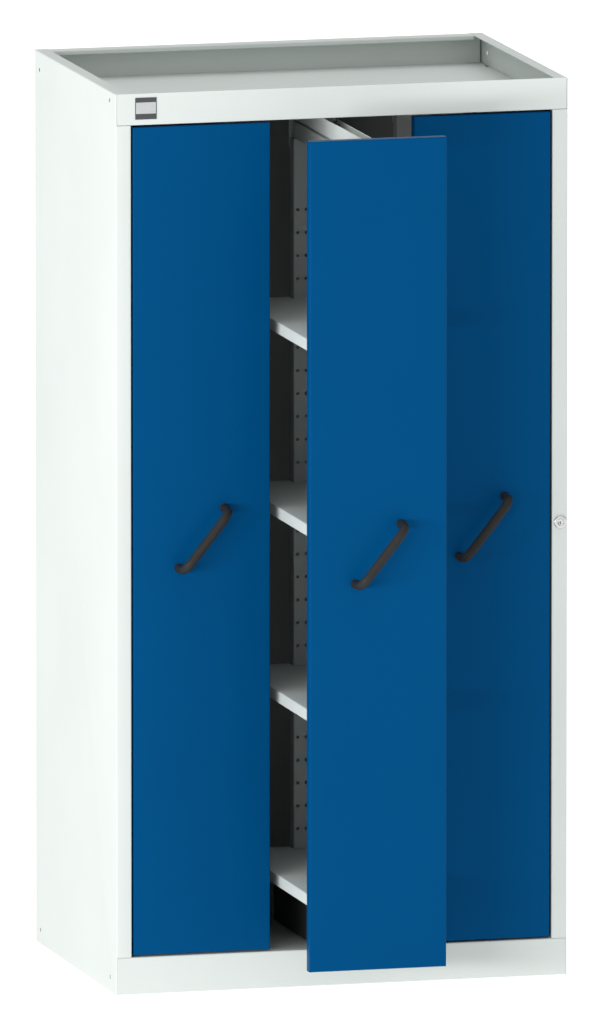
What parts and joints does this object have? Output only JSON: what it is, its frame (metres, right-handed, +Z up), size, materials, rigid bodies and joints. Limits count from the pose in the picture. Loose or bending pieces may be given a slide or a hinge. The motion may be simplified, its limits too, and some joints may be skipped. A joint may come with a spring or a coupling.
{
  "type": "pull-out locker cabinet",
  "caption": "Tall sheet-steel workshop cabinet with side-by-side vertical pull-out shelf units, inclined bow handles, a central lock in the right stile and a recessed tray on top.",
  "frame": {"origin": "bottom centre of the bounding box, with the middle unit drawn out 300 mm, on the floor", "axes": "+Z up; -Y towards the user, the way the units slide out; +X to the user's right"},
  "size_m": [1, 1.0575, 1.95],
  "materials": {
    "carcass_paint": "satin light grey powder coat",
    "front_paint": "semi-gloss blue powder coat",
    "frame_paint": "satin light grey powder coat",
    "carriage_paint": "satin dark grey powder coat",
    "zinc_steel": "zinc plated",
    "lock_steel": "polished",
    "handle_plastic": "fine-grained black",
    "roller_plastic": "smooth black",
    "label": "dark plate with a lighter field"
  },
  "bodies": {
    "cabinet": {"left_side_panel": "carcass_paint", "right_side_panel": "carcass_paint", "top_front_rail": "carcass_paint", "bottom_front_rail": "carcass_paint", "rear_top_rail": "carcass_paint", "rear_bottom_rail": "carcass_paint", "top_panel": "carcass_paint", "floor_panel": "carcass_paint", "back_panel": "carcass_paint", "label_plate": "label", "lock_housing": "lock_steel", "floor_runner_left": "zinc_steel", "guide_bracket_left": "zinc_steel", "floor_runner_middle": "zinc_steel", "guide_bracket_middle": "zinc_steel", "floor_runner_right": "zinc_steel", "guide_bracket_right": "zinc_steel"},
    "pullout_left": {"front_panel_left": "front_paint", "handle_left": "handle_plastic", "front_post_left": "frame_paint", "rear_post_left": "frame_paint", "upper_beam_left": "frame_paint", "guide_channel_left": "frame_paint", "lower_carriage_left": "carriage_paint", "shelf_1_left": "frame_paint", "shelf_2_left": "frame_paint", "shelf_3_left": "frame_paint", "shelf_4_left": "frame_paint"},
    "runner_left": {"middle_runner_left": "zinc_steel"},
    "roller_left": {"guide_roller_left": "roller_plastic"},
    "pullout_middle": {"front_panel_middle": "front_paint", "handle_middle": "handle_plastic", "front_post_middle": "frame_paint", "rear_post_middle": "frame_paint", "upper_beam_middle": "frame_paint", "guide_channel_middle": "frame_paint", "lower_carriage_middle": "carriage_paint", "shelf_1_middle": "frame_paint", "shelf_2_middle": "frame_paint", "shelf_3_middle": "frame_paint", "shelf_4_middle": "frame_paint"},
    "runner_middle": {"middle_runner_middle": "zinc_steel"},
    "roller_middle": {"guide_roller_middle": "roller_plastic"},
    "pullout_right": {"front_panel_right": "front_paint", "handle_right": "handle_plastic", "front_post_right": "frame_paint", "rear_post_right": "frame_paint", "upper_beam_right": "frame_paint", "guide_channel_right": "frame_paint", "lower_carriage_right": "carriage_paint", "shelf_1_right": "frame_paint", "shelf_2_right": "frame_paint", "shelf_3_right": "frame_paint", "shelf_4_right": "frame_paint"},
    "runner_right": {"middle_runner_right": "zinc_steel"},
    "roller_right": {"guide_roller_right": "roller_plastic"},
    "plug": {"lock_plug": "lock_steel"},
    "lock_bar": {"lock_rod": "zinc_steel", "lock_bar": "zinc_steel"}
  },
  "joints": [
    {"name": "pullout_slide_left", "type": "slide", "parent": "cabinet", "child": "pullout_left", "axis": [0, -1, 0], "range_m": [0, 0.56]},
    {"name": "runner_slide_left", "type": "slide", "parent": "cabinet", "child": "runner_left", "axis": [0, -1, 0], "range_m": [0, 0.28]},
    {"name": "roller_spin_left", "type": "hinge", "parent": "cabinet", "child": "roller_left", "pos_m": [-0.31067, -0.11125, 1.85], "axis": [0, 0, 1], "continuous": true},
    {"name": "pullout_slide_middle", "type": "slide", "parent": "cabinet", "child": "pullout_middle", "axis": [0, -1, 0], "range_m": [-0.3, 0.26]},
    {"name": "runner_slide_middle", "type": "slide", "parent": "cabinet", "child": "runner_middle", "axis": [0, -1, 0], "range_m": [-0.15, 0.13]},
    {"name": "roller_spin_middle", "type": "hinge", "parent": "cabinet", "child": "roller_middle", "pos_m": [0, -0.11125, 1.85], "axis": [0, 0, 1], "continuous": true},
    {"name": "pullout_slide_right", "type": "slide", "parent": "cabinet", "child": "pullout_right", "axis": [0, -1, 0], "range_m": [0, 0.56]},
    {"name": "runner_slide_right", "type": "slide", "parent": "cabinet", "child": "runner_right", "axis": [0, -1, 0], "range_m": [0, 0.28]},
    {"name": "roller_spin_right", "type": "hinge", "parent": "cabinet", "child": "roller_right", "pos_m": [0.31067, -0.11125, 1.85], "axis": [0, 0, 1], "continuous": true},
    {"name": "lock_lift", "type": "slide", "parent": "cabinet", "child": "lock_bar", "axis": [0, 0, 1], "range_m": [0, 0.01414]},
    {"name": "lock_turn", "type": "hinge", "parent": "cabinet", "child": "plug", "pos_m": [0.484, -0.17125, 0.987], "axis": [0, 1, 0], "range_deg": [0, 90]}
  ],
  "couplings": [
    {"joint": "runner_slide_left", "follows": "pullout_slide_left", "ratio": 0.5},
    {"joint": "runner_slide_middle", "follows": "pullout_slide_middle", "ratio": 0.5},
    {"joint": "runner_slide_right", "follows": "pullout_slide_right", "ratio": 0.5},
    {"joint": "lock_turn", "follows": "lock_lift", "rad_per_m": 111.07}
  ]
}
